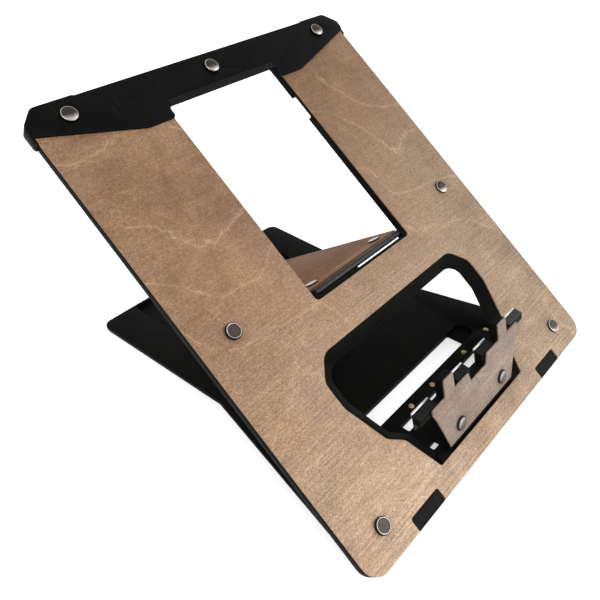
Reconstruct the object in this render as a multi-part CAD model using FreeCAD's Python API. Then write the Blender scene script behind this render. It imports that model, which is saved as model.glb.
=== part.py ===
"""Folding laptop stand: timber-faced panel, base plate, swing-out strut and front stop flap."""
import FreeCAD
import Part
import math
import os

os.makedirs("parts", exist_ok=True)

V = FreeCAD.Vector

# ---- driving dimensions (mm, degrees) -------------------------------------------------
panel_w = 260.0
panel_h = 311.0
panel_corner_r = 11.0
timber_t = 1.0
backing_t = 5.7
fold_gap = 0.8
foot_t = 1.2
sheet_low_t = 1.6
sheet_top_t = 2.8
tilt_rest = 37.6
flap_rest = 38.0
strut_rest = 70.87
fit = 0.05

hinge_y = 3.0
barrel_r = 2.9
hinge_pin_r = 1.2
hinge_x = 76.0
hinge_w = 27.0
hinge_notch_h = 8.3

window_w = 97.0
window_y0 = 135.0
window_y1 = 290.0
window_ledge = 1.9
wall_notch_y0 = 243.0
wall_notch_y1 = 262.0

cap_t = 1.5
cap_lip_y = 285.0

strut_y = 140.2
strut_axis_drop = 3.4
strut_len = 148.0
strut_w = 92.0
strut_face_drop = 1.0
sleeve_r = 2.2
sleeve_len = 87.0
lug_out = 48.4
ear_out = 47.8
strut_pin_r = 0.9

flap_y = 16.6
flap_axis_drop = 3.7
flap_edge = 4.2
flap_barrel_r = 2.3
flap_pin_r = 0.9
flap_timber_t = 0.9
flap_backing_t = 5.0

base_len = 292.0
base_half_front = 127.0
base_half_waist = 93.8
base_half_rear = 98.8
base_waist_y = 157.0

# ---- levels of the folded stack --------------------------------------------------------
z_low = foot_t
z_mid = z_low + sheet_low_t
z_top = z_mid + sheet_top_t
z_axis = z_top + fold_gap / 2.0
z_back = z_top + fold_gap
z_seam = z_back + backing_t
z_face = z_seam + timber_t
z_strut = z_face - strut_axis_drop
z_strut_face = z_face - strut_face_drop
z_flap = z_face - flap_axis_drop
z_strap = z_face - 3.0

# the origin sits under the middle of the footprint
shift_y = -144.15


def outline(points, z=0.0):
    """Closed wire from (x, y) corners; a third value rounds that corner."""
    n = len(points)
    edges = []
    starts = []
    for i in range(n):
        x, y = points[i][0], points[i][1]
        r = points[i][2] if len(points[i]) > 2 else 0.0
        here = V(x, y, z)
        if r <= 0.0:
            starts.append((here, here, None))
            continue
        prev_p = points[i - 1]
        next_p = points[(i + 1) % n]
        a = (V(prev_p[0], prev_p[1], z) - here).normalize()
        b = (V(next_p[0], next_p[1], z) - here).normalize()
        half = a.getAngle(b) / 2.0
        back = r / math.tan(half)
        mid_dir = (a + b).normalize()
        mid = here + mid_dir * (r / math.sin(half) - r)
        starts.append((here + a * back, here + b * back, mid))
    for i in range(n):
        p0, p1, mid = starts[i]
        if mid is not None:
            edges.append(Part.Arc(p0, mid, p1).toShape())
        q0 = starts[(i + 1) % n][0]
        if (q0 - p1).Length > 1e-6:
            edges.append(Part.makeLine(p1, q0))
    return Part.Wire(edges)


def slab(points, z0, z1):
    """Plate with the given outline between two levels."""
    return Part.Face(outline(points, z0)).extrude(V(0, 0, z1 - z0))


def block(x0, x1, y0, y1, z0, z1, r=0.0):
    """Box between two corners, with optional rounded vertical edges."""
    return slab([(x0, y0, r), (x1, y0, r), (x1, y1, r), (x0, y1, r)], z0, z1)


def bar_x(x0, x1, y, z, r):
    """Round bar along X."""
    return Part.makeCylinder(r, x1 - x0, V(x0, y, z), V(1, 0, 0))


def post(x, y, z0, z1, r):
    """Round post along Z."""
    return Part.makeCylinder(r, z1 - z0, V(x, y, z0), V(0, 0, 1))


def mirrored(shape):
    """Copy of a shape on the other side of the middle plane."""
    return shape.mirror(V(0, 0, 0), V(1, 0, 0))


def both(points):
    """Full outline from its right half, listed from the bottom middle to the top middle."""
    left = [(-p[0],) + tuple(p[1:]) for p in reversed(points)]
    return points + left


def rivet(x, y, z, head_r, head_h, shank_r, shank_l):
    """Low domed rivet, head above level z, shank below."""
    rim = head_h * 0.45
    rise = head_h - rim
    sphere_r = (head_r * head_r + rise * rise) / (2.0 * rise)
    head = Part.makeCylinder(head_r, head_h, V(x, y, z))
    ball = Part.makeSphere(sphere_r, V(x, y, z + head_h - sphere_r))
    return head.common(ball).fuse(post(x, y, z - shank_l, z + rim * 0.5, shank_r)).removeSplitter()


def group(shapes):
    """Several separate solids kept in one named piece."""
    return Part.makeCompound(shapes)


# ---- moving each folded piece to its resting place --------------------------------------
def seat(shape):
    """Shift a base piece so the origin is under the middle of the footprint."""
    moved = shape.copy()
    moved.translate(V(0, shift_y, 0))
    return moved


def on_panel(shape):
    """Tilt a panel piece about the front hinge."""
    moved = shape.copy()
    moved.rotate(V(0, hinge_y, z_axis), V(1, 0, 0), tilt_rest)
    return seat(moved)


def on_flap(shape):
    """Raise a flap piece out of the panel, then tilt it with the panel."""
    moved = shape.copy()
    moved.rotate(V(0, flap_y, z_flap), V(1, 0, 0), flap_rest)
    return on_panel(moved)


def on_strut(shape):
    """Swing a strut piece out behind the panel, then tilt it with the panel."""
    moved = shape.copy()
    moved.rotate(V(0, strut_y, z_strut), V(1, 0, 0), -strut_rest)
    return on_panel(moved)


# ---- shared outlines ---------------------------------------------------------------------
def hand_hole(inset):
    """Corners of the wide opening above the flap, narrowed by the bevel at the sides and top."""
    top = 108.6 - inset
    return both([
        (50.5 - inset, 14.0, 2.0),
        (59.8 - inset, 40.0, 8.0),
        (69.5 - inset, 48.0, 8.0),
        (79.5 - inset, 77.0, 14.0),
        (79.5 - inset, 95.0, 10.0),
        (68.0 - inset * 0.6, top, 11.0),
    ])


def flap_outline(grow=0.0):
    """Flap face: tapered sides, square shoulders, two teeth and a middle notch."""
    y0 = flap_y + flap_edge
    return both([
        (37.8, y0 + 0.0),
        (42.6, y0 + 14.0),
        (47.2, y0 + 26.5),
        (50.4 + grow, y0 + 33.0, 1.0),
        (50.4 + grow, y0 + 36.5, 0.8),
        (36.9 + grow, y0 + 36.5, 0.6),
        (36.5 + grow, y0 + 48.0, 1.2),
        (26.8 - grow, y0 + 48.0, 1.2),
        (26.4 - grow, y0 + 36.5, 0.6),
        (11.2 - grow, y0 + 36.5, 1.2),
        (9.2 - grow, y0 + 29.3, 1.2),
    ])


def base_outline(inset=0.0, front=3.4):
    """Base plate: tapers back from the hinge to a waist, then widens a little to the rear."""
    return both([
        (base_half_front - inset, front, 12.0),
        (base_half_waist - inset, base_waist_y, 4.0),
        (base_half_rear - inset, base_len - inset, 7.0),
    ])


# ---- base ----------------------------------------------------------------------------------
def base_slots(z0, z1, wide):
    """Openings that take the flap claws when folded; the upper ones are longer."""
    half = 83.0 if wide else 67.5
    cuts = [block(-half, half, 58.3, 73.0, z0, z1, 6.0 if wide else 1.5)]
    for x0, x1 in ((-65.0, -43.0), (-32.0, 32.0), (43.0, 65.0)):
        cuts.append(block(x0, x1, 41.5, 48.5, z0, z1, 1.2))
    for side in (-1.0, 1.0):
        cuts.append(block(side * 30.0 - 4.3, side * 30.0 + 4.3, 21.5, 26.0, z0, z1, 0.8))
    return cuts


bar_rivet_x = (-89.0, -56.0, -13.0, 13.0, 56.0, 89.0)
bar_rivet_y = 52.6


def leaf_rivet_spots():
    """Fixing points of the two base hinge leaves."""
    return [(side * hinge_x + dx, 17.5) for side in (-1.0, 1.0) for dx in (-8.0, 8.0)]


def base_sheet():
    """Lower sheet of the base."""
    body = slab(base_outline(0.6, 0.4), z_low, z_mid)
    for cut in base_slots(z_low - 1, z_mid + 1, False):
        body = body.cut(cut)
    for x, y in leaf_rivet_spots():
        body = body.cut(post(x, y, z_mid - 0.8, z_mid + 1, 1.5 + fit))
    for x in bar_rivet_x:
        body = body.cut(post(x, bar_rivet_y, z_mid - 0.8, z_mid + 1, 1.3 + fit))
    return body


def base_deck():
    """Upper sheet of the base with the strut track, rest grooves and hinge pockets."""
    body = slab(base_outline(), z_mid, z_top)
    for cut in base_slots(z_mid - 1, z_top + 1, True):
        body = body.cut(cut)
    body = body.cut(block(-68.0, 68.0, 238.0, 291.0 - 1.5, z_mid - 1, z_top + 1, 2.0))
    for y in (204.0, 217.0, 230.0):
        body = body.cut(block(-68.0, 68.0, y - 2.0, y + 3.0, z_top - 1.4, z_top + 1, 1.5))
    for side in (-1.0, 1.0):
        x0 = side * hinge_x - hinge_w / 2.0
        x1 = side * hinge_x + hinge_w / 2.0
        body = body.cut(block(x0, x1, 0.0, hinge_y + barrel_r + 0.5, z_mid - 1, z_top + 1))
        body = body.cut(block(x0, x1, 0.0, 24.2, z_top - 1.2, z_top + 1))
    for x, y in leaf_rivet_spots():
        body = body.cut(post(x, y, z_mid - 1, z_top + 1, 1.5 + fit))
    for x in bar_rivet_x:
        body = body.cut(post(x, bar_rivet_y, z_mid - 1, z_top + 1, 1.3 + fit))
    return body


def base_leaf(side):
    """Hinge leaf let into the base, with a knuckle at each end of the barrel."""
    x0 = side * hinge_x - hinge_w / 2.0 + 0.3
    x1 = side * hinge_x + hinge_w / 2.0 - 0.3
    body = block(x0, x1, hinge_y + 2.0, 23.9, z_top - 1.2, z_top, 0.0)
    body = body.cut(block(x0 + 4.5, x1 - 4.5, 0.0, hinge_y + barrel_r + 0.5, z_mid, z_top + 1))
    for a, b in ((x0, x0 + 4.5), (x1 - 4.5, x1)):
        body = body.fuse(bar_x(a, b, hinge_y, z_axis, barrel_r))
        body = body.fuse(block(a, b, hinge_y, hinge_y + barrel_r + 0.2, z_axis - barrel_r + 0.2, z_top))
    body = body.cut(bar_x(x0 + 0.8, x1 - 0.8, hinge_y, z_axis, hinge_pin_r + fit))
    for x, y in leaf_rivet_spots():
        body = body.cut(post(x, y, z_top - 3, z_top + 1, 1.5 + fit))
    return body.removeSplitter()


def hinge_pins():
    """Pins of the two front hinges."""
    half = hinge_w / 2.0 - 1.1
    return group([bar_x(s * hinge_x - half, s * hinge_x + half, hinge_y, z_axis, hinge_pin_r)
                  for s in (-1.0, 1.0)])


def leaf_rivets():
    """Low rivets through the base hinge leaves."""
    return group([rivet(x, y, z_top, 2.6, 0.4, 1.5, sheet_top_t + 0.8)
                  for x, y in leaf_rivet_spots()])


def bar_rivets():
    """Small rivets along the bar between the base slots."""
    return group([rivet(x, bar_rivet_y, z_top, 2.0, 0.4, 1.3, sheet_top_t + 0.8)
                  for x in bar_rivet_x])


def rubber_feet():
    """Four round pads under the base."""
    spots = [(-105.0, 20.0), (105.0, 20.0), (-82.0, 277.0), (82.0, 277.0)]
    return group([post(x, y, 0.0, foot_t, 8.0) for x, y in spots])


# ---- front panel -----------------------------------------------------------------------------
panel_rivet_spots = ((-106.0, 18.0), (106.0, 18.0), (-106.0, 149.0), (106.0, 149.0))
cap_rivet_spots = ((-105.5, 301.0), (0.0, 301.0), (105.5, 301.0))


def panel_blank(z0, z1, inset=0.0):
    """Rounded rectangle of the panel between two levels."""
    half = panel_w / 2.0 - inset
    r = panel_corner_r - inset
    return block(-half, half, inset, panel_h - inset, z0, z1, r)


def window_cut(ledge, z0, z1):
    """Opening the strut folds into; the backing keeps a ledge at its lower edge."""
    half = window_w / 2.0
    return block(-half, half, window_y0 + ledge, window_y1, z0, z1, 3.0)


def hinge_notch(side, height, r, z0, z1):
    """Notch in the bottom edge at a front hinge."""
    x0 = side * hinge_x - hinge_w / 2.0
    x1 = side * hinge_x + hinge_w / 2.0
    pts = [(x0, -1.0), (x1, -1.0), (x1, height, r), (x0, height, r)]
    return slab(pts, z0, z1)


def timber_face():
    """Timber-veneered front board."""
    body = panel_blank(z_seam, z_face)
    body = body.cut(window_cut(0.0, z_seam - 1, z_face + 1))
    body = body.cut(slab(hand_hole(0.0), z_seam - 1, z_face + 1))
    for side in (-1.0, 1.0):
        body = body.cut(hinge_notch(side, hinge_notch_h, 2.0, z_seam - 1, z_face + 1))
    for x, y in panel_rivet_spots + cap_rivet_spots:
        body = body.cut(post(x, y, z_seam - 1, z_face + 1, 2.5 + fit))
    return body


def hinge_lug(x0, x1, y0, y, z, r):
    """Ear with a rounded nose that carries one end of a hinge pin."""
    return block(x0, x1, y0, y, z - r, z_seam).fuse(bar_x(x0, x1, y, z, r))


def panel_backing():
    """Black backing with the bevelled hand hole, strut lugs and flap lugs."""
    body = panel_blank(z_back, z_seam)
    body = body.cut(window_cut(window_ledge, z_back - 1, z_seam + 1))
    bevel = Part.makeLoft([outline(hand_hole(8.5), z_back - 0.001),
                           outline(hand_hole(0.0), z_seam + 0.001)], True, True)
    body = body.cut(bevel)
    for side in (-1.0, 1.0):
        body = body.cut(hinge_notch(side, hinge_y + barrel_r + 0.6, 0.3, z_back - 1, z_seam + 1))
        body = body.cut(hinge_notch(side, hinge_notch_h, 2.0, z_strap - 0.05, z_seam + 1))
        lug = hinge_lug(44.0, lug_out, window_y0 - 1.0, strut_y, z_strut, sleeve_r)
        ear = hinge_lug(39.0, ear_out, 12.0, flap_y, z_flap, flap_barrel_r)
        for piece in (lug, ear):
            body = body.fuse(piece if side > 0 else mirrored(piece))
        relief = block(window_w / 2.0 - 1.0, window_w / 2.0 + 4.0, wall_notch_y0, wall_notch_y1,
                       z_back - 1, z_back + 3.2, 0.8)
        body = body.cut(relief if side > 0 else mirrored(relief))
    body = body.cut(bar_x(0.4 - lug_out, lug_out - 0.4, strut_y, z_strut, strut_pin_r + fit))
    body = body.cut(bar_x(0.4 - ear_out, ear_out - 0.4, flap_y, z_flap, flap_pin_r + fit))
    for x, y in panel_rivet_spots + cap_rivet_spots:
        body = body.cut(post(x, y, z_seam - 2.0, z_seam + 1, 2.5 + fit))
    return body.removeSplitter()


def cap_outline(side_y):
    """Top cap as seen from the front; its sides start to stand out at side_y."""
    return both([
        (window_w / 2.0 - 1.0, cap_lip_y, 3.0),
        (window_w / 2.0 - 1.0, 277.0, 2.0),
        (67.5, 277.0, 6.0),
        (130.3, side_y),
        (131.7, side_y + 3.0),
        (131.8, 303.0, 4.0),
        (122.6, 312.2, 6.0),
        (97.0, 312.2),
        (95.5, 311.5),
    ])


def top_cap():
    """Black cap over the upper edge, wrapped around the top and the upper sides."""
    plate = slab(cap_outline(295.2), z_face, z_face + cap_t)
    wrap = slab(cap_outline(290.0), z_back, z_face + 0.2)
    wrap = wrap.cut(panel_blank(z_back - 1, z_face + 1, -0.05))
    keep = block(-140.0, 140.0, 291.5, 320.0, z_back - 1, z_face + 1)
    body = plate.fuse(wrap.common(keep)).removeSplitter()
    for x, y in cap_rivet_spots:
        body = body.cut(post(x, y, z_face - 1, z_face + cap_t + 1, 2.5 + fit))
    return body


def panel_strap(side):
    """Hinge strap that fills a bottom notch and carries the middle knuckle."""
    x0 = side * hinge_x - hinge_w / 2.0 + 0.3
    x1 = side * hinge_x + hinge_w / 2.0 - 0.3
    pts = [(x0, -0.3, 0.6), (x1, -0.3, 0.6), (x1, 8.0, 1.8), (x0, 8.0, 1.8)]
    body = slab(pts, z_strap, z_face - 0.6)
    a = x0 + 4.8
    b = x1 - 4.8
    body = body.fuse(block(a, b, hinge_y - barrel_r, hinge_y + barrel_r, z_axis, z_strap + 0.5))
    body = body.fuse(bar_x(a, b, hinge_y, z_axis, barrel_r))
    body = body.cut(bar_x(x0, x1, hinge_y, z_axis, hinge_pin_r + fit))
    return body.removeSplitter()


def panel_rivets():
    """Four rivets through the timber face."""
    return group([rivet(x, y, z_face, 5.0, 2.2, 2.5, timber_t + 2.0)
                  for x, y in panel_rivet_spots])


def cap_rivets():
    """Three rivets through the top cap."""
    return group([rivet(x, y, z_face + cap_t, 5.0, 2.2, 2.5, cap_t + timber_t + 2.0)
                  for x, y in cap_rivet_spots])


def strut_pin():
    """Pin between the window lugs."""
    return bar_x(0.4 - lug_out, lug_out - 0.4, strut_y, z_strut, strut_pin_r)


def flap_pin():
    """Pin between the flap lugs."""
    return bar_x(0.4 - ear_out, ear_out - 0.4, flap_y, z_flap, flap_pin_r)


# ---- strut ---------------------------------------------------------------------------------------
strut_timber_t = 0.8
strut_backing_t = 3.2
z_strut_seam = z_strut_face - strut_timber_t
z_strut_back = z_strut_seam - strut_backing_t
strut_end = strut_y + strut_len
strut_rivet_spots = ((-33.0, strut_y + 13.0), (33.0, strut_y + 13.0))


def strut_board(z0, z1, start):
    """Strut board outline with chamfered far corners."""
    half = strut_w / 2.0
    pts = both([
        (half, start),
        (half, strut_end - 9.0, 1.5),
        (half - 8.0, strut_end - 0.5, 1.5),
    ])
    return slab(pts, z0, z1)


def strut_timber():
    """Timber top face of the strut."""
    body = strut_board(z_strut_seam, z_strut_face, strut_y + sleeve_r + 1.2)
    for x, y in strut_rivet_spots:
        body = body.cut(post(x, y, z_strut_seam - 1, z_strut_face + 1, 2.0 + fit))
    return body


def strut_backing():
    """Black underside of the strut."""
    body = strut_board(z_strut_back, z_strut_seam, strut_y + sleeve_r + 0.9)
    for x, y in strut_rivet_spots:
        body = body.cut(post(x, y, z_strut_seam - 1.2, z_strut_seam + 1, 2.0 + fit))
    return body


def strut_sleeve():
    """Rolled hinge sleeve with the tongue clamped against the strut."""
    half = sleeve_len / 2.0
    body = bar_x(-half, half, strut_y, z_strut, sleeve_r)
    tongue = block(-half, half, strut_y, strut_y + sleeve_r + 0.9, z_strut_back, z_strut_seam)
    body = body.fuse(tongue)
    body = body.cut(bar_x(-half - 1, half + 1, strut_y, z_strut, strut_pin_r + fit))
    return body.removeSplitter()


def strut_rivets():
    """Two rivets near the strut hinge."""
    return group([rivet(x, y, z_strut_face, 4.4, 0.95, 2.0, strut_timber_t + 1.2)
                  for x, y in strut_rivet_spots])


def strut_foot():
    """Cross foot under the far end of the strut, wider than the window."""
    y0 = strut_end - 8.0
    block_w = strut_w / 2.0 - 8.5
    body = block(-block_w, block_w, y0, strut_end, z_top - 2.3, z_strut_back)
    wings = block(-64.0, 64.0, y0, strut_end, z_top - 2.3, z_top + 0.4, 1.5)
    return body.fuse(wings).removeSplitter()


# ---- stop flap ---------------------------------------------------------------------------------------
z_flap_seam = z_face - flap_timber_t
z_flap_back = z_flap_seam - flap_backing_t
flap_base_y = flap_y + flap_edge
flap_rivet_spots = ((-25.4, flap_base_y + 9.0), (25.4, flap_base_y + 9.0))
shoulder_y = flap_base_y + 36.5
hook_places = [(kind, side) for kind in ("outer", "inner") for side in (-1.0, 1.0)]
hook_spans = {"outer": (44.2, 60.6), "inner": (7.4, 21.0)}


def flap_timber():
    """Timber face of the flap."""
    body = slab(flap_outline(), z_flap_seam, z_face)
    for x, y in flap_rivet_spots:
        body = body.cut(post(x, y, z_flap_seam - 1, z_face + 1, 2.2 + fit))
    return body


def flap_backing():
    """Black backing of the flap with its hinge barrel and folded-over claws behind the teeth."""
    body = slab(flap_outline(0.6), z_flap_back, z_flap_seam)
    strip = block(-38.6, 38.6, flap_y, flap_base_y + 2.0, z_flap - flap_barrel_r, z_flap_seam)
    body = body.fuse(strip)
    body = body.fuse(bar_x(-38.6, 38.6, flap_y, z_flap, flap_barrel_r))
    ledge_y = shoulder_y + 0.3
    for kind, side in hook_places:
        x0, x1 = hook_span(kind, side)
        shelf = block(x0, x1, shoulder_y - 4.0, ledge_y, z_flap_back, z_face - 1.5)
        body = body.fuse(shelf)
    body = body.cut(bar_x(-40, 40, flap_y, z_flap, flap_pin_r + fit))
    for x, y in flap_rivet_spots:
        body = body.cut(post(x, y, z_flap_seam - 1.4, z_flap_seam + 1, 2.2 + fit))
    return body.removeSplitter()


def flap_rivets():
    """Two rivets in the flap face."""
    return group([rivet(x, y, z_face, 4.8, 2.2, 2.2, flap_timber_t + 1.4)
                  for x, y in flap_rivet_spots])


def hook_profile(x0, x1, pts):
    """Prism along X from a side profile of (distance above the shoulder, depth below the face)."""
    corners = [V(x0, shoulder_y + a, z_face - t) for a, t in pts]
    return Part.Face(Part.makePolygon(corners + [corners[0]])).extrude(V(x1 - x0, 0, 0))


def hook_span(kind, side):
    """Ends of one hook along X."""
    a, b = hook_spans[kind]
    return (a, b) if side > 0 else (-b, -a)


def hook(kind, side):
    """Black claw bracket behind the shoulder of the flap."""
    x0, x1 = hook_span(kind, side)
    return hook_profile(x0, x1, [(-8.0, 5.9), (-8.0, 6.9), (1.6, 6.9), (0.9, 5.9)])


def hook_pad(kind, side):
    """Ribbed rubber pad on the sloping top of a hook."""
    x0, x1 = hook_span(kind, side)
    return hook_profile(x0, x1, [(0.9, 5.9), (2.4, 6.9), (2.9, 6.2), (0.9, 1.5), (0.3, 1.5),
                                 (0.3, 5.9)])


def hook_edge(kind, side):
    """Bright metal strip along the rear edge of a hook."""
    x0, x1 = hook_span(kind, side)
    return hook_profile(x0, x1, [(1.6, 6.9), (1.6, 7.5), (3.3, 7.5), (3.3, 6.7), (2.9, 6.2),
                                 (2.4, 6.9)])


# ---- all pieces -----------------------------------------------------------------------------------
pieces = {
    "base_sheet": seat(base_sheet()),
    "base_deck": seat(base_deck()),
    "base_leaf_left": seat(base_leaf(-1.0)),
    "base_leaf_right": seat(base_leaf(1.0)),
    "hinge_pins": seat(hinge_pins()),
    "leaf_rivets": seat(leaf_rivets()),
    "bar_rivets": seat(bar_rivets()),
    "rubber_feet": seat(rubber_feet()),
    "timber_face": on_panel(timber_face()),
    "panel_backing": on_panel(panel_backing()),
    "top_cap": on_panel(top_cap()),
    "panel_strap_left": on_panel(panel_strap(-1.0)),
    "panel_strap_right": on_panel(panel_strap(1.0)),
    "panel_rivets": on_panel(panel_rivets()),
    "cap_rivets": on_panel(cap_rivets()),
    "strut_pin": on_panel(strut_pin()),
    "flap_pin": on_panel(flap_pin()),
    "strut_timber": on_strut(strut_timber()),
    "strut_backing": on_strut(strut_backing()),
    "strut_sleeve": on_strut(strut_sleeve()),
    "strut_rivets": on_strut(strut_rivets()),
    "strut_foot": on_strut(strut_foot()),
    "flap_timber": on_flap(flap_timber()),
    "flap_backing": on_flap(flap_backing()),
    "flap_rivets": on_flap(flap_rivets()),
}
for hook_kind in ("outer", "inner"):
    for hook_side, word in ((-1.0, "left"), (1.0, "right")):
        tail = hook_kind + "_" + word
        pieces["hook_" + tail] = on_flap(hook(hook_kind, hook_side))
        pieces["hook_pad_" + tail] = on_flap(hook_pad(hook_kind, hook_side))
        pieces["hook_edge_" + tail] = on_flap(hook_edge(hook_kind, hook_side))

for name, shape in pieces.items():
    shape.exportStep("parts/" + name + ".step")
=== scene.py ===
"""Looks for the folding laptop stand: veneer, black board, steel rivets, studio light and camera."""

import math

import bpy
from mathutils import Matrix, Vector


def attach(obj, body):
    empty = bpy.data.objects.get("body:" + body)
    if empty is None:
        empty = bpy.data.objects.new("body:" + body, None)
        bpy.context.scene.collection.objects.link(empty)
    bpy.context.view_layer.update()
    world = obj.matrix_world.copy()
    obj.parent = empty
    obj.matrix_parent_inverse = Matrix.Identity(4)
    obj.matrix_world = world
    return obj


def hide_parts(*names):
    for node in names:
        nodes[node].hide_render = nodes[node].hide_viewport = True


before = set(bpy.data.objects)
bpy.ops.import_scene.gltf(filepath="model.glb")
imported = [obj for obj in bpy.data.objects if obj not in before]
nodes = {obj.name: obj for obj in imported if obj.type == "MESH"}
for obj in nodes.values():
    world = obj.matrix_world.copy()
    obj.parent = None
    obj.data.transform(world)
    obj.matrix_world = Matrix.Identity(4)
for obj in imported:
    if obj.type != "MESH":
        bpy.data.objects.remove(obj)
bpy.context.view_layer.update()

MM = 0.001

# ---- places of the panel, flap and strut at rest (mm, degrees) ---------------------------
SHIFT_Y = -144.15
HINGE_YZ = (3.0, 6.0)
TILT = 37.6
FLAP_YZ = (16.6, 9.4)
FLAP_TURN = 38.0
STRUT_YZ = (140.2, 9.7)
STRUT_TURN = -70.87
Z_FACE = 13.1
CAP_FACE = Z_FACE + 1.5
STRUT_FACE = Z_FACE - 1.0
STRAP_FACE = Z_FACE - 0.6

# ---- places of the rivets, in mm on the folded panel ----------------------------------------
PANEL_RIVET_X = 106.0
PANEL_RIVET_Y = (18.0, 149.0)
CAP_RIVET_X = (-105.5, 0.0, 105.5)
CAP_RIVET_Y = 301.0
FLAP_RIVET_X = 25.4
FLAP_RIVET_Y = 29.8
STRUT_RIVET_X = 33.0
STRUT_RIVET_Y = 153.2
STRAP_X = 76.0
STRAP_STUD_X = 7.5
STRAP_STUD_Y = 5.0
PANEL_HEAD = (5.0, 2.2)
FLAP_HEAD = (4.8, 2.2)
STRUT_HEAD = (4.4, 0.95)
STRAP_STUD = (1.5, 0.3)

# ---- beads on the lip of the cap, mm ------------------------------------------------------------
BEAD_HALF = 46.0
BEAD_Y = (286.0, 287.3, 288.6)
BEAD_R = 0.22


def turn_about(yz, degrees):
    """Rotation about a line along X through (y, z)."""
    pivot = Matrix.Translation(Vector((0.0, yz[0], yz[1])))
    return pivot @ Matrix.Rotation(math.radians(degrees), 4, "X") @ pivot.inverted()


to_metres = Matrix.Scale(MM, 4)
on_panel = to_metres @ Matrix.Translation(Vector((0, SHIFT_Y, 0))) @ turn_about(HINGE_YZ, TILT)
on_flap = on_panel @ turn_about(FLAP_YZ, FLAP_TURN)
on_strut = on_panel @ turn_about(STRUT_YZ, STRUT_TURN)
on_base = to_metres @ Matrix.Translation(Vector((0, SHIFT_Y, 0)))


# ---- node graphs ----------------------------------------------------------------------------
class Graph:
    """Short calls for building one material."""

    def __init__(self, name, metal=0.0, specular=0.5):
        self.mat = bpy.data.materials.new(name)
        self.mat.use_nodes = True
        self.tree = self.mat.node_tree
        self.shader = self.tree.nodes["Principled BSDF"]
        self.shader.inputs["Metallic"].default_value = metal
        self.shader.inputs["Specular IOR Level"].default_value = specular

    def put(self, socket, value):
        if isinstance(value, bpy.types.NodeSocket):
            self.tree.links.new(value, socket)
        else:
            socket.default_value = value

    def add(self, kind, values=(), **props):
        node = self.tree.nodes.new("ShaderNode" + kind)
        for key, value in props.items():
            setattr(node, key, value)
        for key, value in values:
            self.put(node.inputs[key], value)
        return node

    def local(self, placed):
        """Coordinates in mm of the part as it lies when folded flat."""
        back = placed.inverted()
        coords = self.add("TexCoord").outputs["Object"]
        turn = back.to_euler()
        return self.add("Mapping", [("Vector", coords), ("Location", back.translation[:]),
                                    ("Rotation", turn[:]), ("Scale", back.to_scale()[:])]).outputs[0]

    def scaled(self, vector, scale):
        return self.add("Mapping", [("Vector", vector), ("Scale", scale)]).outputs[0]

    def noise(self, vector, scale, detail=2.0, rough=0.5, bend=0.0):
        node = self.add("TexNoise", [("Vector", vector), ("Scale", scale), ("Detail", detail),
                                     ("Roughness", rough), ("Distortion", bend)])
        return node.outputs["Fac"]

    def cells(self, vector, scale):
        return self.add("TexVoronoi", [("Vector", vector), ("Scale", scale)]).outputs["Distance"]

    def axis(self, vector, name):
        return self.add("SeparateXYZ", [("Vector", vector)]).outputs[name]

    def math(self, operation, a, b=0.0):
        return self.add("Math", [(0, a), (1, b)], operation=operation).outputs[0]

    def span(self, value, low, high, out_low=0.0, out_high=1.0):
        node = self.add("MapRange", [("Value", value), ("From Min", low), ("From Max", high),
                                     ("To Min", out_low), ("To Max", out_high)])
        return node.outputs["Result"]

    def ramp(self, value, stops):
        node = self.add("ValToRGB", [("Fac", value)])
        bar = node.color_ramp.elements
        while len(bar) < len(stops):
            bar.new(0.5)
        for element, (place, color) in zip(bar, stops):
            element.position = place
            element.color = (*color, 1.0)
        return node.outputs["Color"]

    def mix(self, factor, a, b, blend="MIX"):
        node = self.add("Mix", [(0, factor), (6, a), (7, b)], data_type="RGBA", blend_type=blend)
        return node.outputs[2]

    def grey(self, value):
        return self.add("CombineColor", [(0, value), (1, value), (2, value)]).outputs[0]

    def edge(self, radius, low=0.06, high=0.3):
        """1 on worn outer edges, 0 on flats."""
        soft = self.add("Bevel", [("Radius", radius)], samples=4).outputs["Normal"]
        flat = self.add("NewGeometry").outputs["Normal"]
        dot = self.add("VectorMath", [(0, soft), (1, flat)], operation="DOT_PRODUCT").outputs["Value"]
        return self.span(self.math("SUBTRACT", 1.0, dot), low, high)

    def bump(self, height, distance, strength=1.0, after=None):
        values = [("Height", height), ("Distance", distance), ("Strength", strength)]
        if after is not None:
            values.append(("Normal", after))
        return self.add("Bump", values).outputs["Normal"]

    def done(self, color, rough, normal):
        self.put(self.shader.inputs["Base Color"], color)
        self.put(self.shader.inputs["Roughness"], rough)
        self.put(self.shader.inputs["Normal"], normal)
        return self.mat


def rgba(color):
    """The same color, opaque."""
    return (*color, 1.0)


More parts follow.
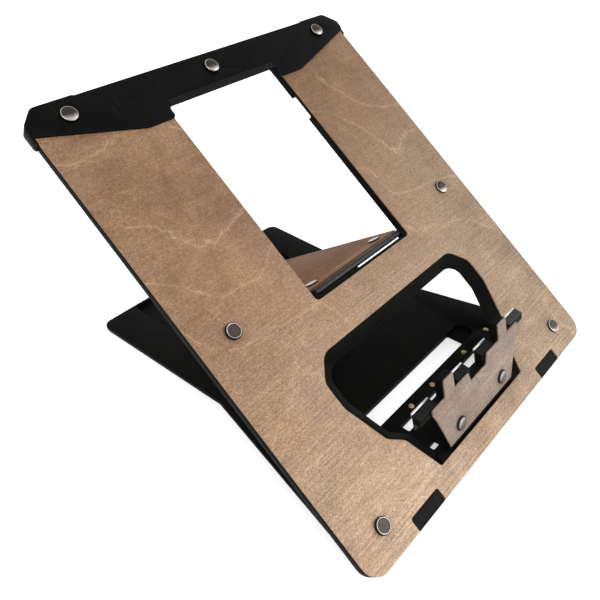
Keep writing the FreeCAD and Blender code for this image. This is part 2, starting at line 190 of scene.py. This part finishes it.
def veneer(name, placed, dark, light, vein, along="x", vein_gap=52.0, pale=None, specular=0.3):
    """Stained birch veneer: short fibres, soft clouds, thin pale growth lines.

    pale is (dark, light) for the less stained lower part of the sheet; that paler lower part is also painted
    light, and the sheet is painted darker to the right and towards the top as painted shade."""
    g = Graph(name, specular=specular)
    place = g.local(placed)
    fibres = g.scaled(place, (0.5, 1.0, 1.0) if along == "x" else (1.0, 0.16, 1.0))
    threads = g.scaled(place, (0.03, 1.0, 1.0) if along == "x" else (1.0, 0.03, 1.0))
    clouds = g.noise(place, 0.022, 3.0, 0.55, 0.6)
    blotch = g.noise(place, 0.11, 3.0, 0.6, 0.4)
    stroke = g.noise(fibres, 1.0, 3.0, 0.66, 1.4)
    thread = g.noise(threads, 0.75, 4.0, 0.7, 0.25)
    fine = g.noise(fibres, 1.9, 2.0, 0.6, 0.8)
    streak = g.noise(g.scaled(place, (0.012, 0.5, 1.0) if along == "x" else (0.5, 0.012, 1.0)), 1.0, 3.0)
    tone = g.math("MULTIPLY", clouds, 0.6)
    tone = g.math("ADD", tone, g.math("MULTIPLY", blotch, 0.22))
    tone = g.math("ADD", tone, g.math("MULTIPLY", streak, 0.18))
    color = g.ramp(tone, [(0.39, dark), (0.61, light)])
    x = g.axis(place, "X")
    y = g.axis(place, "Y")
    if pale:
        # paler colours for the lower part: less stain there and also painted light, blended in below a
        # diagonal
        pale_and_lit = g.ramp(tone, [(0.39, pale[0]), (0.61, pale[1])])
        across = g.math("SUBTRACT", y, g.math("MULTIPLY", x, 0.45))
        across = g.math("ADD", across, g.span(clouds, 0.3, 0.7, -45.0, 45.0))
        color = g.mix(g.span(across, 215.0, 60.0), color, pale_and_lit)
        # painted light and shade: lighter at the lower left, darker to the right (most at the lower right)
        # and towards the top
        right_shade = g.span(y, 120.0, 280.0, 0.72, 0.93)
        shade = g.span(x, -70.0, 110.0, 1.05, right_shade)
        shade = g.math("MULTIPLY", shade, g.span(y, 60.0, 260.0, 1.08, 0.94))
        color = g.mix(1.0, color, g.grey(shade), "MULTIPLY")
    fleck = g.span(stroke, 0.3, 0.7, 0.62, 1.38)
    color = g.mix(1.0, color, g.grey(fleck), "MULTIPLY")
    sheet = g.math("ADD", y, g.span(clouds, 0.3, 0.7, -60.0, 60.0))
    grain = g.span(thread, 0.34, 0.66, 0.7, 1.26)
    color = g.mix(g.span(sheet, 210.0, 40.0, 0.08, 0.75), color,
                  g.mix(1.0, color, g.grey(grain), "MULTIPLY"))
    pores = g.span(fine, 0.34, 0.62, 0.66, 1.22)
    color = g.mix(1.0, color, g.grey(pores), "MULTIPLY")
    # growth lines run across the sheet and wander
    sway = g.noise(place, 0.013, 1.0, 0.4)
    jag = g.noise(place, 0.16, 4.0, 0.7)
    row = g.math("ADD", g.math("MULTIPLY", y, 1.0 / vein_gap), g.math("MULTIPLY", x, 0.42 / vein_gap))
    row = g.math("ADD", row, g.math("MULTIPLY", sway, 3.1))
    row = g.math("ADD", row, g.math("MULTIPLY", jag, 0.26))
    off = g.math("ABSOLUTE", g.math("SUBTRACT", g.math("FRACT", row), 0.5))
    thin = g.span(off, 0.0, 0.009, 1.0, 0.0)
    halo = g.span(off, 0.0, 0.06, 0.2, 0.0)
    patchy = g.span(g.noise(place, 0.03, 2.0), 0.36, 0.5)
    line = g.math("MULTIPLY", g.math("MAXIMUM", thin, halo), g.math("MULTIPLY", patchy, 0.6))
    color = g.mix(line, color, rgba(vein))
    worn = g.edge(0.0007)
    burnt = g.mix(1.0, color, rgba((0.45, 0.4, 0.35)), "MULTIPLY")
    color = g.mix(g.math("MULTIPLY", worn, 0.8), color, burnt)
    rough = g.span(stroke, 0.3, 0.7, 0.5, 0.68)
    height = g.math("ADD", g.math("MULTIPLY", stroke, 0.7), g.math("MULTIPLY", fine, 0.5))
    return g.done(color, rough, g.bump(height, 0.00012, 0.45))


def board(name, placed, deep, lift, worn_color, specular=0.05, rough=(0.5, 0.72), pebble=1.0):
    """Black laminate board with a fine pebble and slightly rubbed edges."""
    g = Graph(name, specular=specular)
    place = g.local(placed)
    cloud = g.noise(place, 0.03, 3.0, 0.6)
    grit = g.noise(place, 1.3, 3.0, 0.65)
    cell = g.cells(place, 0.95)
    tone = g.math("ADD", g.math("MULTIPLY", cloud, 0.6), g.math("MULTIPLY", grit, 0.4))
    color = g.ramp(tone, [(0.36, deep), (0.66, lift)])
    scuff = g.span(g.noise(g.scaled(place, (1.0, 0.08, 1.0)), 0.5, 3.0, 0.7, 0.5), 0.62, 0.74)
    color = g.mix(g.math("MULTIPLY", scuff, 0.25), color, rgba(worn_color))
    rub = g.math("MULTIPLY", g.edge(0.0006), g.span(g.noise(place, 0.2, 3.0), 0.35, 0.65, 0.25, 1.0))
    color = g.mix(rub, color, rgba(worn_color))
    roughness = g.span(grit, 0.3, 0.7, rough[0], rough[1])
    fine = g.bump(cell, 0.00008, 0.35 * pebble)
    return g.done(color, roughness, g.bump(grit, 0.00006, 0.5 * pebble, fine))


def metal(name, placed, tone, rough, scuff=1.0):
    """Steel or nickel with fine scratches and tarnish."""
    g = Graph(name, metal=1.0)
    place = g.local(placed)
    lines = g.noise(g.scaled(place, (0.25, 6.0, 1.0)), 1.6, 3.0, 0.7)
    stain = g.noise(place, 0.5, 4.0, 0.6)
    dull = tuple(c * 0.62 for c in tone)
    color = g.mix(g.span(stain, 0.4, 0.68, 0.0, 0.8), rgba(tone), rgba(dull))
    color = g.mix(g.math("MULTIPLY", g.edge(0.0003), 0.5), color, rgba((0.85, 0.83, 0.8)))
    roughness = g.math("ADD", g.span(lines, 0.3, 0.7, rough - 0.07, rough + 0.1),
                       g.math("MULTIPLY", stain, 0.12))
    return g.done(color, roughness, g.bump(lines, 0.00003, 0.35 * scuff))


def painted_highlight_head(name, placed, dark, lit, toward, low, high):
    """Dome with a painted highlight: its colour goes from dark to lit where the normal leans toward the
    given world direction.
    """
    g = Graph(name, metal=1.0)
    place = g.local(placed)
    grain = g.noise(place, 2.4, 3.0, 0.65)
    flat = g.add("NewGeometry").outputs["Normal"]
    lean = g.add("VectorMath", [(0, flat), (1, toward)], operation="DOT_PRODUCT").outputs["Value"]
    lean = g.math("ADD", lean, g.span(grain, 0.3, 0.7, -0.05, 0.05))
    # painted highlight and painted dark side, set by the lean of the normal
    color = g.mix(g.span(lean, low, high), rgba(dark), rgba(lit))
    return g.done(color, g.span(grain, 0.3, 0.7, 0.2, 0.36), g.bump(grain, 0.00002, 0.3))


def studded(name, placed, tone):
    """Rubber pad with rows of small raised dots."""
    g = Graph(name, specular=0.14)
    place = g.local(placed)
    turned = g.add("Mapping", [("Vector", place), ("Rotation", (0.0, 0.0, math.radians(45)))]).outputs[0]
    dots = g.add("TexVoronoi", [("Vector", turned), ("Scale", 1.3), ("Randomness", 0.0)]).outputs[0]
    raised = g.span(dots, 0.18, 0.42, 1.0, 0.0)
    dust = g.noise(place, 0.8, 3.0, 0.6)
    color = g.mix(raised, rgba(tuple(c * 0.35 for c in tone)), rgba(tone))
    color = g.mix(g.span(dust, 0.5, 0.75, 0.0, 0.35), color, rgba(tuple(c * 1.9 for c in tone)))
    return g.done(color, g.span(dust, 0.3, 0.7, 0.6, 0.85), g.bump(raised, 0.0004, 0.8))


# ---- materials ---------------------------------------------------------------------------------
# board colours from its deepest tone to its rubbed edges
BLACK = (0.0008, 0.0008, 0.0006)
LIFT = (0.004, 0.0039, 0.0031)
RUBBED = (0.016, 0.0155, 0.014)

timber = veneer("timber", on_panel, (0.172, 0.092, 0.046), (0.262, 0.154, 0.082),
                (0.56, 0.4, 0.24), pale=((0.285, 0.19, 0.12), (0.41, 0.29, 0.192)))
flap_wood = veneer("flap_veneer", on_flap, (0.165, 0.12, 0.088), (0.25, 0.19, 0.147),
                   (0.42, 0.34, 0.27), vein_gap=70.0)
strut_wood = veneer("strut_veneer", on_strut, (0.12, 0.05, 0.016), (0.2, 0.088, 0.03),
                    (0.27, 0.145, 0.065), along="y", vein_gap=90.0, specular=0.12)
panel_board = board("panel_board", on_panel, BLACK, LIFT, RUBBED)
base_board = board("base_board", on_base, (0.0015, 0.0015, 0.0012), (0.0045, 0.0045, 0.0037), RUBBED)
flap_board = board("flap_board", on_flap, BLACK, LIFT, RUBBED)
strut_board = board("strut_board", on_strut, BLACK, LIFT, RUBBED)
cap_black = board("cap_black", on_panel, (0.0012, 0.0012, 0.001), (0.0034, 0.0034, 0.003),
                  (0.03, 0.029, 0.027), specular=0.05, rough=(0.42, 0.6), pebble=0.7)
hook_black = board("hook_black", on_flap, BLACK, (0.007, 0.007, 0.0064), (0.05, 0.048, 0.045),
                   specular=0.16, rough=(0.32, 0.5), pebble=0.5)
strap_black = board("strap_black", on_panel, (0.0016, 0.0016, 0.0014), (0.0055, 0.0055, 0.0048),
                    (0.03, 0.029, 0.027), specular=0.07, rough=(0.35, 0.55), pebble=0.5)
steel = metal("steel", on_panel, (0.42, 0.4, 0.37), 0.34)
# rivet heads: the rim is a bright copy of the steel as painted highlight, the side a dark copy as painted
# shade
rim_painted_highlight = metal("rim_painted_highlight", on_panel, (0.5, 0.47, 0.44), 0.2, 0.6)
face_steel = metal("face_steel", on_panel, (0.075, 0.062, 0.052), 0.36, 1.8)
side_painted_shade = metal("side_painted_shade", on_panel, (0.035, 0.031, 0.028), 0.3)
bright = metal("bright_edge", on_flap, (0.74, 0.73, 0.71), 0.2, 0.8)
# world directions towards which the domes of the panel and of the flap get their painted highlight
panel_highlight_toward = (-0.05, -0.72, -0.69)
flap_highlight_toward = (-0.25, 0.8, 0.55)
panel_dome_painted_highlight = painted_highlight_head("panel_dome_painted_highlight", on_panel, (0.05, 0.042, 0.036), (0.68, 0.62, 0.56), panel_highlight_toward,
                         -0.06, 0.26)
flap_dome_painted_highlight = painted_highlight_head("flap_dome_painted_highlight", on_flap, (0.06, 0.053, 0.048), (0.75, 0.71, 0.67), flap_highlight_toward,
                        -0.6, -0.1)
dark_steel = metal("dark_steel", on_base, (0.05, 0.05, 0.048), 0.42)
sleeve_steel = metal("sleeve_steel", on_strut, (0.05, 0.049, 0.047), 0.36, 2.0)
bronze = metal("bronze", on_base, (0.5, 0.34, 0.2), 0.3)
rubber = studded("foot_rubber", on_base, (0.02, 0.02, 0.02))
grip = studded("grip_rubber", on_flap, (0.012, 0.0118, 0.0112))
# lighter copy of the grip rubber for the outer right pad: painted light on that lit pad
painted_lit_grip = studded("painted_lit_grip_rubber", on_flap, (0.075, 0.073, 0.07))

looks = {
    "timber_face": timber, "flap_timber": flap_wood, "strut_timber": strut_wood,
    "panel_backing": panel_board, "base_sheet": base_board, "base_deck": base_board,
    "flap_backing": flap_board, "strut_backing": strut_board, "strut_foot": strut_board,
    "top_cap": cap_black, "panel_strap_left": strap_black, "panel_strap_right": strap_black,
    "base_leaf_left": dark_steel, "base_leaf_right": dark_steel, "bar_rivets": bronze,
    "leaf_rivets": dark_steel, "hinge_pins": steel, "strut_pin": steel, "flap_pin": steel,
    "strut_sleeve": sleeve_steel, "rubber_feet": rubber, "panel_rivets": steel,
    "cap_rivets": steel, "flap_rivets": steel, "strut_rivets": steel,
}
for kind in ("outer", "inner"):
    for word in ("left", "right"):
        looks["hook_" + kind + "_" + word] = hook_black
        looks["hook_pad_" + kind + "_" + word] = grip
        looks["hook_edge_" + kind + "_" + word] = bright
# the outer right pad gets the lighter copy of the grip: painted light
looks["hook_pad_outer_right"] = painted_lit_grip

# ---- finish of the carried-over pieces: material, eased edges, smooth rounds ---------------------
EASE = {"timber_face": 0.12, "flap_timber": 0.12, "strut_timber": 0.12, "panel_backing": 0.25,
        "base_sheet": 0.3, "base_deck": 0.3, "flap_backing": 0.3, "strut_backing": 0.3,
        "top_cap": 0.3, "strut_foot": 0.4}
for name, obj in nodes.items():
    obj.data.materials.clear()
    obj.data.materials.append(looks[name])
    obj.data.shade_smooth()
    weld = obj.modifiers.new("weld", "WELD")
    weld.merge_threshold = 0.000002
    ease = obj.modifiers.new("ease", "BEVEL")
    ease.width = EASE.get(name, 0.12) * MM
    ease.segments = 2
    ease.limit_method = "ANGLE"
    ease.angle_limit = math.radians(40)
    ease.use_clamp_overlap = True
    ease.harden_normals = True


# ---- turned rivets -------------------------------------------------------------------------------
def turned(name, body, slot, placed, spots, profile, mats, replaced=None):
    """Lathed pieces on several spots; profile lists (radius, height, material index) in mm."""
    steps = 40
    verts = []
    faces = []
    picks = []
    for cx, cy, cz in spots:
        start = len(verts)
        for radius, height, _ in profile:
            for k in range(steps):
                a = 2 * math.pi * k / steps
                verts.append(placed @ Vector((cx + radius * math.cos(a), cy + radius * math.sin(a),
                                              cz + height)))
        for i in range(len(profile) - 1):
            for k in range(steps):
                a = start + i * steps + k
                b = start + i * steps + (k + 1) % steps
                faces.append((a, b, b + steps, a + steps))
                picks.append(profile[i][2])
        last = start + (len(profile) - 1) * steps
        faces.append(tuple(last + k for k in range(steps)))
        picks.append(profile[-1][2])
    mesh = bpy.data.meshes.new(name)
    mesh.from_pydata([tuple(v) for v in verts], [], faces)
    for mat in mats:
        mesh.materials.append(mat)
    for face, pick in zip(mesh.polygons, picks):
        face.material_index = pick
    mesh.shade_smooth()
    mesh.set_sharp_from_angle(angle=math.radians(38))
    piece = bpy.data.objects.new(name, mesh)
    bpy.context.scene.collection.objects.link(piece)
    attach(piece, body)
    if replaced:
        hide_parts(replaced)


def low_head(r, h):
    """Flat-topped rivet head with a slim rim that carries a painted highlight and a side that carries
    painted shade; last number picks the material.
    """
    side = [(r - 0.35, -0.4, 2), (r - 0.1, 0.02, 2), (r, 0.25, 2), (r, h * 0.5, 2),
            (r - 0.16, h * 0.72, 2), (r - 0.42, h * 0.88, 2)]
    rim = [(r - 0.6, h * 0.93, 1), (r - 0.85, h * 0.93, 1)]
    face = [(r - 0.98, h * 0.89, 0), (r * 0.55, h * 0.9, 0), (r * 0.2, h * 0.92, 0), (0.05, h * 0.92, 0)]
    return side + rim + face


def dome_head(r, h):
    """Rivet head with a slim rim and a shallow dome inside it."""
    rim = [(r - 0.35, -0.4, 2), (r - 0.1, 0.02, 2), (r, 0.25, 2), (r, h * 0.45, 2), (r - 0.16, h * 0.6, 1),
           (r - 0.4, h * 0.66, 1)]
    dome = [(r - 0.6, 0.68), (r * 0.74, 0.8), (r * 0.58, 0.88), (r * 0.4, 0.94), (r * 0.2, 0.97),
            (0.05, 0.98)]
    return rim + [(p, h * q, 0) for p, q in dome]


def flat_stud(r, h):
    """Small flush stud with a shallow dished middle."""
    return [(r - 0.1, -0.2, 0), (r, 0.0, 0), (r * 0.93, h * 0.7, 0), (r * 0.75, h, 0), (r * 0.4, h * 0.8, 0),
            (0.05, h * 0.7, 0)]


def round_head(r, h):
    """Domed rivet head."""
    dome = [(r * math.cos(math.radians(a)), h * (0.25 + 0.73 * math.sin(math.radians(a))))
            for a in (0, 12, 24, 36, 48, 60, 70, 80)]
    side = [(r - 0.4, -0.4, 2), (r - 0.1, 0.02, 2)]
    return side + [(p, q, 2 if i < 3 else 0) for i, (p, q) in enumerate(dome)] + [(0.05, h * 0.98, 0)]


# face, rim and side of the heads; the rim carries a painted highlight and the side painted shade
rivet_mats = [face_steel, rim_painted_highlight, side_painted_shade]
dome_mats = [panel_dome_painted_highlight, rim_painted_highlight, side_painted_shade]
flap_mats = [flap_dome_painted_highlight, rim_painted_highlight, side_painted_shade]
strut_mats = [steel, rim_painted_highlight, side_painted_shade]
flat_spots = [(-PANEL_RIVET_X, y, Z_FACE) for y in PANEL_RIVET_Y]
dome_spots = [(PANEL_RIVET_X, y, Z_FACE) for y in PANEL_RIVET_Y]
cap_spots = [(x, CAP_RIVET_Y, CAP_FACE) for x in CAP_RIVET_X]
flap_spots = [(side * FLAP_RIVET_X, FLAP_RIVET_Y, Z_FACE) for side in (-1, 1)]
strut_spots = [(side * STRUT_RIVET_X, STRUT_RIVET_Y, STRUT_FACE) for side in (-1, 1)]
strap_spots = [(side * STRAP_X + dx, STRAP_STUD_Y, STRAP_FACE)
               for side in (-1, 1) for dx in (-STRAP_STUD_X, STRAP_STUD_X)]
turned("flat_rivet_heads", "front_panel", "steel", on_panel, flat_spots, low_head(*PANEL_HEAD),
       rivet_mats, "panel_rivets")
turned("dome_rivet_heads", "front_panel", "steel", on_panel, dome_spots, dome_head(*PANEL_HEAD),
       dome_mats, "panel_rivets")
turned("cap_rivet_heads", "front_panel", "steel", on_panel, cap_spots, dome_head(*PANEL_HEAD),
       dome_mats, "cap_rivets")
turned("flap_rivet_heads", "stop_flap", "steel", on_flap, flap_spots, round_head(*FLAP_HEAD),
       flap_mats, "flap_rivets")
turned("strut_rivet_heads", "strut", "steel", on_strut, strut_spots, low_head(*STRUT_HEAD),
       strut_mats, "strut_rivets")
turned("strap_studs", "front_panel", "steel", on_panel, strap_spots, flat_stud(*STRAP_STUD),
       [strap_black])


# ---- fine ridges pressed into the lip of the cap above the window ------------------------------
def ridges(name, body, placed, x0, x1, rows, z, radius, mat):
    """Low half-round beads along X with tapered ends, one for each y in rows."""
    sides = 6
    verts = []
    faces = []
    for y in rows:
        start = len(verts)
        for x, size in ((x0, 0.2), (x0 + 1.5, 1.0), (x1 - 1.5, 1.0), (x1, 0.2)):
            for k in range(sides + 1):
                a = math.pi * k / sides
                verts.append(placed @ Vector((x, y + radius * size * math.cos(a),
                                              z + radius * size * math.sin(a) - 0.03)))
        for i in range(3):
            for k in range(sides):
                a = start + i * (sides + 1) + k
                faces.append((a, a + sides + 1, a + sides + 2, a + 1))
    mesh = bpy.data.meshes.new(name)
    mesh.from_pydata([tuple(v) for v in verts], [], faces)
    mesh.materials.append(mat)
    mesh.shade_smooth()
    piece = bpy.data.objects.new(name, mesh)
    bpy.context.scene.collection.objects.link(piece)
    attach(piece, body)


# the beads are a lighter, glossier copy of the cap's black: painted highlight on their crests
ridge_painted_highlight = board("ridge_painted_highlight", on_panel, (0.006, 0.0058, 0.0052), (0.014, 0.0136, 0.0125),
                    (0.05, 0.048, 0.045), specular=0.12, rough=(0.35, 0.5))
ridges("cap_lip_ridges", "front_panel", on_panel, -BEAD_HALF, BEAD_HALF, BEAD_Y,
       CAP_FACE, BEAD_R, ridge_painted_highlight)

# ---- floor, light and camera ------------------------------------------------------------
floor_look = Graph("floor", specular=0.1)
floor_grain = floor_look.noise(floor_look.add("TexCoord").outputs["Object"], 60.0, 3.0)
floor_look.done(floor_look.ramp(floor_grain, [(0.3, (0.93, 0.93, 0.93)), (0.7, (0.95, 0.95, 0.95))]),
                floor_look.span(floor_grain, 0.3, 0.7, 0.8, 0.9), floor_look.bump(floor_grain, 0.0001, 0.1))
floor_look.shader.inputs["Emission Color"].default_value = (1.0, 1.0, 1.0, 1.0)
floor_look.shader.inputs["Emission Strength"].default_value = 0.42
floor_mesh = bpy.data.meshes.new("floor")
reach = 6.0
floor_mesh.from_pydata([(-reach, -reach, 0), (reach, -reach, 0), (reach, reach, 0), (-reach, reach, 0)],
                       [], [(0, 1, 2, 3)])
floor = bpy.data.objects.new("floor", floor_mesh)
bpy.context.scene.collection.objects.link(floor)
floor_mesh.materials.append(floor_look.mat)

bpy.context.scene.view_settings.view_transform = "Standard"
world = bpy.data.worlds.new("studio")
bpy.context.scene.world = world
world.use_nodes = True
sky = world.node_tree.nodes["Background"]
sky.inputs["Color"].default_value = (1.0, 1.0, 1.0, 1.0)
sky.inputs["Strength"].default_value = 0.95


def softbox(name, place, target, size, power):
    """Square area light at place, turned towards target; metres and watts."""
    data = bpy.data.lights.new(name, "AREA")
    data.size = size
    data.energy = power
    lamp = bpy.data.objects.new(name, data)
    bpy.context.scene.collection.objects.link(lamp)
    lamp.location = place
    lamp.rotation_euler = (Vector(target) - Vector(place)).to_track_quat("-Z", "Y").to_euler()


softbox("key", (-0.9, -0.6, 1.4), (0, 0, 0.1), 0.9, 8)
softbox("fill", (1.2, -0.9, 0.9), (0, 0, 0.1), 1.0, 5)
softbox("low_front", (0.2, -0.6, 0.3), (0.0, -0.12, 0.03), 0.35, 1.0)

cam_data = bpy.data.cameras.new("camera")
cam_data.sensor_width = 36.0
cam_data.lens = 36.03
cam_data.shift_x = -0.0008
cam_data.shift_y = 0.0015
camera = bpy.data.objects.new("camera", cam_data)
bpy.context.scene.collection.objects.link(camera)
right = Vector((0.6677, -0.7434, -0.0390))
up = Vector((0.4793, 0.3893, 0.7866))
back = Vector((-0.5696, -0.5439, 0.6163))
eye = Vector((-0.2599, -0.22875, 0.3143))
camera.matrix_world = Matrix((
    (right.x, up.x, back.x, eye.x),
    (right.y, up.y, back.y, eye.y),
    (right.z, up.z, back.z, eye.z),
    (0, 0, 0, 1)))
bpy.context.scene.camera = camera
